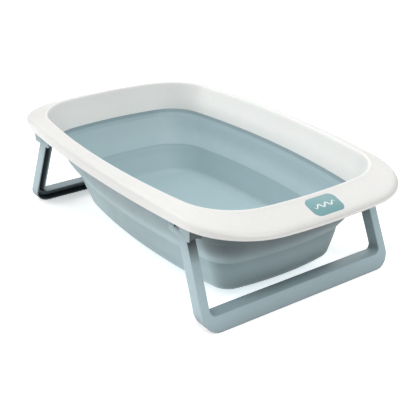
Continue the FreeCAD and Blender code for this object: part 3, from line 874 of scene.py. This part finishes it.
def make_badge():
    """Blank rounded badge with a raised wave line in place of any lettering."""
    badge = soften(badge_slab("badge", 0.0, -BADGE_SUNK, BADGE_PROUD), 0.25, 2)
    finish_piece(badge, "badge_teal", ["badge_plate"], "rim")
    low, high = BADGE_PROUD - WAVE_SUNK, BADGE_PROUD + WAVE_PROUD
    steps = WAVE_STEPS
    rows = []
    for k in range(steps + 1):
        v = WAVE_LENGTH * (k / steps - 0.5)
        turn = 2 * pi * WAVE_CYCLES * k / steps
        u = WAVE_HEIGHT * sin(turn)
        slope = WAVE_HEIGHT * 2 * pi * WAVE_CYCLES / WAVE_LENGTH * cos(turn)
        half = WAVE_WIDTH / 2 * min(1.0, WAVE_TAPER + 4 * min(k, steps - k) / steps)
        du, dv = half / hypot(1, slope), -half * slope / hypot(1, slope)
        top_u, top_v = du * WAVE_TOP_SHARE, dv * WAVE_TOP_SHARE
        rows.append([badge_place(u - du, v - dv, low),
                     badge_place(u + du, v + dv, low),
                     badge_place(u + top_u, v + top_v, high),
                     badge_place(u - top_u, v - top_v, high)])
    finish_piece(loft("badge_wave", rows), "badge_teal", ["badge_plate"], "rim", "badge_print")


def bowl_stations(offset, seam_depth, floor_depth):
    """Bowl wall from the seam to the edge of the floor, grown by offset."""
    def at(ring, depth, bend, more=0.0):
        return Station(grow(ring, offset + more), depth, bend)

    groove = mix_ring(CREASE, FOLD_LOW, 0.5)
    wall = section([
        at(SEAM, seam_depth, 0.0),
        at(LEDGE, LEDGE_DEPTH - LEDGE_LIP, LEDGE_BEND),
        at(LEDGE, LEDGE_DEPTH, LEDGE_BEND, -LEDGE_STEP),
        at(BAND_MID, BAND_MID_DEPTH, 14.0),
        at(CREASE, CREASE_DEPTH, 3.5),
        at(CREASE, CREASE_DEPTH + FOLD_RIDGE_DROP, 3.0, -FOLD_RIDGE),
        at(groove, (CREASE_DEPTH + FOLD_LOW_DEPTH) / 2, 4.0),
        at(FOLD_LOW, FOLD_LOW_DEPTH, 8.0),
        at(TRAY_LOW, TRAY_LOW_DEPTH, 0.0)])
    start = wall[-1]
    corner = at(mix_ring(FOLD_LOW, TRAY_LOW, HEEL_REACH), floor_depth, 0.0)
    edge = at(FLOOR, floor_depth, 0.0, -FLOOR_INSET if offset == 0.0 else 0.0)
    for k in range(1, HEEL_STEPS + 1):
        t = k / HEEL_STEPS
        wall.append(between(between(start, corner, t), between(corner, edge, t), t))
    return wall


def floor_rows(outline, centre, hole_r, z):
    """Rows that carry the floor from its outline to the round drain hole."""
    hole = []
    for p in outline:
        away = Vector((p.x - centre.x, p.y - centre.y)).normalized() * hole_r
        hole.append(Vector((centre.x + away.x, centre.y + away.y, z)))
    shares = [1 - (1 - k / FLOOR_ROWS) ** FLOOR_ROW_CROWDING for k in range(1, FLOOR_ROWS + 1)]
    return [[p.lerp(q, t) for p, q in zip(outline, hole)] for t in shares]


def make_bowl():
    """One soft moulding from the seam to the floor, with folds in its wall and a drain hole."""
    low, high = box_mm("drain_gasket")
    centre = (low + high) / 2
    hole_r = (high.x - low.x) / 2 - GASKET_OVERLAP
    inner_z = CREST_Z - FLOOR_DEPTH
    outer_z = inner_z - FLOOR_WALL
    seam = SEAM_DEPTH + SEAM_GAP
    inner = [station_row(s) for s in bowl_stations(0.0, seam, FLOOR_DEPTH)]
    outer = [station_row(s) for s in bowl_stations(BOWL_WALL, seam, FLOOR_DEPTH + FLOOR_WALL)]
    inner += floor_rows(inner[-1], centre, hole_r, inner_z)
    outer += floor_rows(outer[-1], centre, hole_r, outer_z)
    bowl = belt("bowl", inner + outer[::-1])
    finish_piece(bowl, "bowl_soft", ["bowl_collar", "fold_band", "bowl_tray"])
    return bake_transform(bowl)


# ---- leg frames ----
def leg_outline(inset, top):
    """U-shaped outline in the plane of the leg, (y, distance up the slope), moved in by inset."""
    rise = cos(LEG_LEAN)
    narrowing = (LEG_OUTER_FOOT_Y - LEG_OUTER_TOP_Y) / hinge_place().z * rise

    def arm(s, from_outer):
        return LEG_OUTER_FOOT_Y - narrowing * s - from_outer

    low = (LEG_FOOT_Z + inset) / rise
    high = (LEG_FOOT_Z + BAR_HEIGHT - inset) / rise
    near, far = inset, ARM_WIDTH - inset
    outer = [(arm(top, near), top, 0.0), (arm(low, near), low, LEG_OUTER_R - inset)]
    inner = [(arm(top, far), top, 0.0), (arm(high, far), high, LEG_INNER_R + inset)]
    sides = []
    for corners in (outer, inner):
        mirrored = [(-y, s, r) for y, s, r in reversed(corners)]
        sides.append(rounded_path(corners + mirrored, closed=False, steps=12))
    return sides[0] + sides[1][::-1]


def hinge_place():
    """The near legs' hinge, in the middle of the tub's width."""
    joint = [j for j in frame["joints"] if j["name"] == "near_leg_fold"][0]
    return Vector(joint["pos_m"]) / MM


def leg_row(inset, back, top_z):
    """The leg's outline moved in by inset and back from its front, up to the height top_z."""
    rise, run = cos(LEG_LEAN), sin(LEG_LEAN)
    return [Vector((LEG_FOOT_X - s * run - back, y, s * rise))
            for y, s in leg_outline(inset, top_z / rise)]


def leg_rows():
    """Rows over the frame: web, rounded front edges, skins, lips, hollow and the rib inside it."""
    top = hinge_place().z
    hollow_top = top - KNUCKLE_SOLID
    rib_top = hollow_top - LEG_RIB_END
    rib_side = (ARM_WIDTH - LEG_RIB) / 2
    turns = [pi / 2 * k / LEG_ROUND_STEPS for k in range(LEG_ROUND_STEPS + 1)]
    # Along each quarter round, falls goes from 1 to 0 and grows goes from 0 to 1.
    rounds = [(1 - sin(t), 1 - cos(t)) for t in turns]
    rows = [leg_row(LEG_EDGE * falls, LEG_EDGE * grows, top) for falls, grows in rounds]
    rows += [leg_row(LEG_LIP * grows, LEG_DEPTH - LEG_LIP * falls, top) for falls, grows in rounds]
    rows += [leg_row(LEG_SKIN - LEG_LIP * falls, LEG_DEPTH - LEG_LIP * grows, hollow_top)
             for falls, grows in rounds]
    rows += [leg_row(LEG_SKIN + LEG_FILLET * grows, LEG_WEB + LEG_FILLET * falls, hollow_top)
             for falls, grows in rounds]
    rows += [leg_row(rib_side - LEG_RIB_FOOT, LEG_WEB, rib_top),
             leg_row(rib_side, LEG_WEB + LEG_RIB_FOOT, rib_top),
             leg_row(rib_side, LEG_RIB_DEPTH - LEG_RIB_EDGE, rib_top),
             leg_row(rib_side + LEG_RIB_EDGE, LEG_RIB_DEPTH, rib_top)]
    return rows


def make_leg(end_name, end):
    """U-shaped channel frame with a bored round knuckle at the top of each arm."""
    hinge = hinge_place()
    leg = folded_loft("leg", leg_rows())
    y0, y1 = LEG_OUTER_TOP_Y - ARM_WIDTH, LEG_OUTER_TOP_Y
    knuckles = []
    bores = []
    profile = rounded_path([(0.0, y0, 0.0), (KNUCKLE_R, y0, KNUCKLE_EDGE),
                            (KNUCKLE_R, y1, KNUCKLE_EDGE), (0.0, y1, 0.0)],
                           closed=False, steps=4)
    for _, side in SIDES:
        knuckle = turned("knuckle", profile, (hinge.x, 0, hinge.z), "y", steps=64)
        knuckles.append(to_corner(knuckle, 1, side))
        bore = cross_rod("bore", y0 - CUT_PAST, y1 + CUT_PAST, PIN_BORE_R)
        bores.append(to_corner(bore, 1, side))
    combine(leg, knuckles, "UNION")
    combine(leg, bores, "DIFFERENCE")
    leg = merge(end_name + "_leg", [leg])
    to_corner(leg, end, end)
    return finish_piece(leg, "leg_plastic", [end_name + "_leg_frame"], end_name + "_leg")


def make_pads():
    """Rubber pads under the bars, with cross treads on their undersides."""
    low, high = box_mm("foot_pad_near_left")
    pad = slab("pad", rectangle(low.x, high.x, low.y, high.y, PAD_END_R), on_xy, low.z, high.z)
    pitch = (high.y - low.y) / PAD_TREADS
    grooves = []
    for i in range(1, PAD_TREADS):
        y = low.y + pitch * i
        half = PAD_GROOVE_SHARE * pitch
        groove = rectangle(low.x - CUT_PAST, high.x + CUT_PAST, y - half, y + half)
        grooves.append(slab("groove", groove, on_xy, low.z - CUT_PAST, low.z + PAD_TREAD_DEPTH))
    combine(pad, grooves, "DIFFERENCE")
    at_corners(soften(pad, 0.25, 2), "pad", "foot_pad", "pad_rubber")


# ---- hinge corner, made at +X, +Y ----
def cross_rod(name, y0, y1, r):
    """A rod of radius r on the hinge's axis, from y0 to y1."""
    hinge = hinge_place()
    return turned(name, [(0, y0), (r, y0), (r, y1), (0, y1)], (hinge.x, 0, hinge.z), "y")


def wall_relief():
    """Room for the rim's inner wall and the bowl's collar beside a bracket."""
    stations = [Station(grow(CREST, RELIEF + CREST_RELIEF), 0.0),
                Station(grow(WALL_BREAK, RELIEF), WALL_BREAK_DEPTH),
                Station(grow(SEAM, RELIEF), SEAM_DEPTH),
                Station(grow(LEDGE, RELIEF), LEDGE_DEPTH)]
    return loft("relief", [station_row(station) for station in stations])


def latch_slot(face):
    """Slot through the outer cheek for the latch's stem and its travel."""
    low, high = box_mm("leg_latch_near_left")
    x, z = (low.x + high.x) / 2, (low.z + high.z) / 2
    half = LATCH_STEM / 2 + FIT_GAP
    outline = rectangle(x - half - LATCH_TRAVEL, x + half, z - half, z + half, 0.6)
    return slab("slot", outline, on_xz, face - CHEEK - CUT_PAST, face + CUT_PAST)


def make_brackets():
    """Hanger with two cheeks and a closed outboard end, under the rim's deck."""
    low, high = box_mm("hinge_bracket_near_left")
    face = box_mm("hinge_pin_near_left")[1].y
    r = BRACKET_CORNER_R
    under = high.z - BRACKET_TOP_WALL
    plate = rectangle(low.x, high.x, low.y, high.y, BRACKET_PLATE_R)
    body = slab("bracket", plate, on_xy, under, high.z)
    end_wall = rectangle(high.x - BRACKET_END_WALL, high.x, low.y, face, 1.0)
    walls = [slab("end", end_wall, on_xy, low.z + r, high.z)]
    for x0, y0, y1 in ((low.x, face - CHEEK, face),
                       (low.x + INNER_CHEEK_INSET, low.y, low.y + INNER_CHEEK)):
        outline = rounded_path([(x0, high.z, 0.0), (x0, low.z, r),
                                (high.x, low.z, r), (high.x, high.z, 0.0)])
        walls.append(slab("cheek", outline, on_xz, y0, y1))
    combine(body, walls, "UNION")
    cuts = [wall_relief(), latch_slot(face),
            cross_rod("seat", low.y - CUT_PAST, high.y + CUT_PAST, PIN_BORE_R - SEAT_FIT)]
    z0, z1 = under - CUT_PAST, high.z + CUT_PAST
    for x, y in screw_places():
        profile = [(0, z0), (SCREW_CLEAR_R, z0), (SCREW_CLEAR_R, z1), (0, z1)]
        cuts.append(turned("hole", profile, (x, y, 0), steps=24))
    combine(body, cuts, "DIFFERENCE")
    at_corners(soften(body, 0.6, 2), "bracket", "hinge_bracket", "bracket_plastic")


def make_pins():
    """Turned pin: chamfered ends with centre marks, and a groove for the clip."""
    low, high = box_mm("hinge_pin_near_left")
    clip_low, clip_high = box_mm("pin_clip_near_left")
    hinge = hinge_place()
    r = (high.x - low.x) / 2
    groove_r = CLIP_BORE_R - PIN_GROOVE_PLAY
    groove_y0 = clip_low.y - PIN_GROOVE_PLAY
    groove_y1 = clip_high.y + PIN_GROOVE_PLAY
    chamfer = PIN_CHAMFER
    profile = [(0.0, low.y + 0.9), (1.2, low.y), (r - chamfer, low.y), (r, low.y + chamfer * 0.6),
               (r, groove_y0), (groove_r, groove_y0), (groove_r, groove_y1), (r, groove_y1),
               (r, high.y - chamfer), (r - chamfer, high.y), (1.6, high.y), (0.0, high.y - 1.1)]
    pin = turned("pin", profile, (hinge.x, 0, hinge.z), "y", steps=64)
    at_corners(pin, "pin", "hinge_pin", "pin_steel")


def make_clips():
    """Spring clip: an open ring with three lugs that reach into the pin's groove."""
    low, high = box_mm("pin_clip_near_left")
    hinge = hinge_place()
    outer_r = (high.x - low.x) / 2
    steps = 72
    half_mouth = asin(CLIP_MOUTH / 2 / CLIP_BORE_R)
    outside = []
    inside = []
    for k in range(steps + 1):
        turn = -pi / 2 + half_mouth + (2 * pi - 2 * half_mouth) * k / steps
        lug = CLIP_BORE_R + CLIP_LUG * (sin(2 * turn) ** 2) ** 0.35
        outside.append((hinge.x + outer_r * cos(turn), hinge.z + outer_r * sin(turn)))
        inside.append((hinge.x + lug * cos(turn), hinge.z + lug * sin(turn)))
    rows = []
    for (xo, zo), (xi, zi) in zip(outside, inside):
        rows.append([Vector((xo, low.y, zo)), Vector((xi, low.y, zi)),
                     Vector((xi, high.y, zi)), Vector((xo, high.y, zo))])
    at_corners(soften(loft("clip", rows), 0.15, 1), "clip", "pin_clip", "clip_steel")


def make_latches():
    """Release tab with finger ribs outside the cheek, and a stem that runs in its slot."""
    low, high = box_mm("leg_latch_near_left")
    face = box_mm("hinge_pin_near_left")[1].y
    x, z = (low.x + high.x) / 2, (low.z + high.z) / 2
    plate_y = high.y - LATCH_RIB_PROUD
    plate = rectangle(low.x, high.x, low.z, high.z, 2.0)
    latch = slab("latch", plate, on_xz, face + FIT_GAP, plate_y)
    half = LATCH_STEM / 2
    stem = rectangle(x - half, x + half, z - half, z + half, 0.8)
    parts = [slab("stem", stem, on_xz, low.y, face + FIT_GAP + LATCH_OVERLAP)]
    rib_half = LATCH_RIB_WIDTH / 2
    pitch = (high.x - low.x) / LATCH_RIBS
    for i in range(LATCH_RIBS):
        rib_x = low.x + pitch * (i + 0.5)
        rib = rectangle(rib_x - rib_half, rib_x + rib_half, low.z + 1, high.z - 1,
                        0.45 * LATCH_RIB_WIDTH)
        parts.append(slab("rib", rib, on_xz, plate_y - LATCH_OVERLAP, high.y))
    combine(latch, parts, "UNION")
    for piece in at_corners(soften(latch, 0.3, 2), "latch", "leg_latch", "latch_plastic"):
        piece.data.materials.append(MATERIALS["latch_ribs"])
        for polygon in piece.data.polygons:
            on_rib = abs(polygon.center.y) > (plate_y + 0.2) * MM
            polygon.material_index = 1 if on_rib else 0


def make_screws():
    """Pan-head screws with a cross recess, up through the brackets into the rim's bosses."""
    low, high = box_mm("bracket_screws")
    head_top = low.z + SCREW_HEAD
    profile = [(0.0, low.z), (1.5, low.z), (2.4, low.z + 0.35), (SCREW_HEAD_R, low.z + 1.0),
               (SCREW_HEAD_R, head_top), (SCREW_R, head_top), (SCREW_R, high.z - 0.6),
               (0.9, high.z), (0.0, high.z)]
    slot_z0, slot_z1 = low.z - CUT_PAST, low.z + SCREW_CROSS_DEPTH
    screws = []
    for x, y in screw_places():
        slots = [rectangle(x - a, x + a, y - b, y + b) for a, b in (SCREW_CROSS, SCREW_CROSS[::-1])]

        def make_screw():
            cross = [slab("slot", slot, on_xy, slot_z0, slot_z1) for slot in slots]
            return combine(turned("screw", profile, (x, y, 0), steps=32), cross, "DIFFERENCE")

        screws += all_corners(make_screw)
    finish_piece(merge("screws", screws), "screw_steel", ["bracket_screws"], "rim")


# ---- drain ----
def drain_centre():
    low, high = box_mm("drain_ring")
    return Vector(((low.x + high.x) / 2, (low.y + high.y) / 2, 0.0))


def outline_turned(name, corners):
    """A closed (radius, height, corner radius) section turned about the drain's axis."""
    section_points = rounded_path(corners, steps=4)
    return turned(name, [(p.x, p.y) for p in section_points], drain_centre(), closed=True, steps=72)


def make_drain():
    """Flanged ring, gasket and notched nut in the floor's hole."""
    low, high = box_mm("drain_ring")
    floor_top = high.z - DRAIN_FLANGE
    flange_r = (high.x - low.x) / 2
    ring = outline_turned("drain", [
        (DRAIN_BORE_R, low.z, 0.4), (SLEEVE_R, low.z, 0.6), (SLEEVE_R, floor_top, 0.0),
        (flange_r, floor_top, 0.2), (flange_r - 0.4, high.z, 1.0), (DRAIN_BORE_R, high.z, 0.8)])
    finish_piece(ring, "drain_plastic", ["drain_ring"], "tray")
    bore_r = SLEEVE_R + SLEEVE_PLAY
    for name, node, slot, r in (("gasket", "drain_gasket", "seal_rubber", 0.3),
                                ("nut", "drain_nut", "drain_plastic", 0.5)):
        low, high = box_mm(node)
        outer_r = (high.x - low.x) / 2
        piece = outline_turned(name, [(bore_r, low.z, 0.1), (outer_r, low.z, r),
                                      (outer_r, high.z, r), (bore_r, high.z, 0.1)])
        if name == "nut":
            combine(piece, nut_notches(outer_r, low.z - CUT_PAST, high.z + CUT_PAST), "DIFFERENCE")
            soften(piece, 0.2, 1)
        finish_piece(piece, slot, [node], "tray")


def nut_notches(nut_r, z0, z1):
    """Rods that cut finger notches into the nut's rim."""
    notches = []
    for i in range(NUT_NOTCHES):
        turn = 2 * pi * i / NUT_NOTCHES
        centre = drain_centre() + nut_r * Vector((cos(turn), sin(turn), 0.0))
        profile = [(0, z0), (NUT_NOTCH_R, z0), (NUT_NOTCH_R, z1), (0, z1)]
        notches.append(turned("notch", profile, centre, steps=24))
    return notches


def make_plug():
    """Domed stopper with a pull tab, and the seal ring in the groove round its stem."""
    low, high = box_mm("drain_plug")
    seal_low, seal_high = box_mm("plug_seal")
    seal_z = (seal_low.z + seal_high.z) / 2
    seat = box_mm("drain_ring")[1].z
    cap_r = (high.x - low.x) / 2
    cap_top = seat + PLUG_CAP
    profile = [(0.0, low.z), (PLUG_STEM_R - 0.8, low.z), (PLUG_STEM_R, low.z + 0.8)]
    groove_r = SEAL_R + SEAL_PLAY
    for k in range(9):
        turn = pi * k / 8
        profile.append((PLUG_STEM_R - groove_r * sin(turn),
                        seal_z - groove_r * cos(turn)))
    profile += [(PLUG_STEM_R, seat), (cap_r - 0.3, seat), (cap_r, seat + 0.3)]
    edge_r = PLUG_CAP_ROUND
    for k in range(6):
        turn = pi / 2 * k / 5
        profile.append((cap_r - edge_r + edge_r * cos(turn),
                        cap_top - 1.5 + edge_r * sin(turn)))
    profile += [(0.5 * cap_r, cap_top - 0.08), (0.0, cap_top)]
    plug = turned("plug", profile, drain_centre(), steps=72)
    x = drain_centre().x
    half = PLUG_TAB_WIDTH / 2
    tab = rounded_path([(-half, cap_top - 1, 0.0), (half, cap_top - 1, 0.0),
                        (half, high.z, PLUG_TAB_R), (-half, high.z, PLUG_TAB_R)])
    tab_half = PLUG_TAB_THICK / 2
    combine(plug, [slab("tab", tab, on_yz, x - tab_half, x + tab_half)], "UNION")
    finish_piece(soften(plug, 0.35, 2), "drain_plastic", ["drain_plug"], "plug")
    turns = [2 * pi * k / SEAL_STEPS for k in range(SEAL_STEPS)]
    section_points = [(PLUG_STEM_R + SEAL_R * cos(turn), seal_z + SEAL_R * sin(turn))
                      for turn in turns]
    seal = turned("seal", section_points, drain_centre(), closed=True, steps=72)
    finish_piece(seal, "seal_rubber", ["plug_seal"], "plug")


# ---- stage, light and camera ----
def make_floor():
    half = STAGE_HALF
    mesh = bpy.data.meshes.new("floor")
    corners = [(-half, -half, 0), (half, -half, 0), (half, half, 0), (-half, half, 0)]
    mesh.from_pydata(corners, [], [(0, 1, 2, 3)])
    floor = link_object("floor", mesh)
    pale = moulded("floor_pale", srgb(250, 250, 250), 0.8, 3.0, 0.02, 0.004, 0.0, specular=0.1)
    shader = pale.node_tree.nodes["Principled BSDF"]
    shader.inputs["Emission Color"].default_value = grey(1.0)
    shader.inputs["Emission Strength"].default_value = STAGE_GLOW
    floor.data.materials.append(pale)


def make_lights():
    world = bpy.data.worlds.new("studio")
    world.use_nodes = True
    background = world.node_tree.nodes["Background"]
    background.inputs["Color"].default_value = grey(1.0)
    background.inputs["Strength"].default_value = ROOM_LIGHT
    bpy.context.scene.world = world
    for name, bearing, height, strength in SOFTBOXES:
        light = bpy.data.lights.new(name, "SUN")
        light.energy = strength
        light.angle = radians(SOFTBOX_SPREAD)
        across, up = cos(radians(height)), sin(radians(height))
        around = radians(bearing)
        source = Vector((across * cos(around), across * sin(around), up))
        obj = link_object(name, light)
        obj.rotation_euler = (-source).to_track_quat("-Z", "Y").to_euler()


def make_camera():
    camera = bpy.data.cameras.new("camera")
    camera.lens = CAMERA_LENS
    camera.sensor_width = CAMERA_SENSOR
    camera.shift_x = CAMERA_SHIFT_X
    obj = link_object("camera", camera)
    obj.location = CAMERA_AT
    direction = Vector(CAMERA_TARGET) - Vector(CAMERA_AT)
    roll = Quaternion((0.0, 0.0, 1.0), radians(CAMERA_ROLL))
    obj.rotation_euler = (direction.to_track_quat("-Z", "Y") @ roll).to_euler()
    bpy.context.scene.camera = obj


make_camera()
make_lights()
make_floor()
make_rim()
make_badge()
make_bowl()
make_drain()
make_plug()
for end_name, end in ENDS:
    make_leg(end_name, end)
make_pads()
make_brackets()
make_pins()
make_clips()
make_latches()
make_screws()

bpy.context.scene.view_settings.view_transform = "Standard"
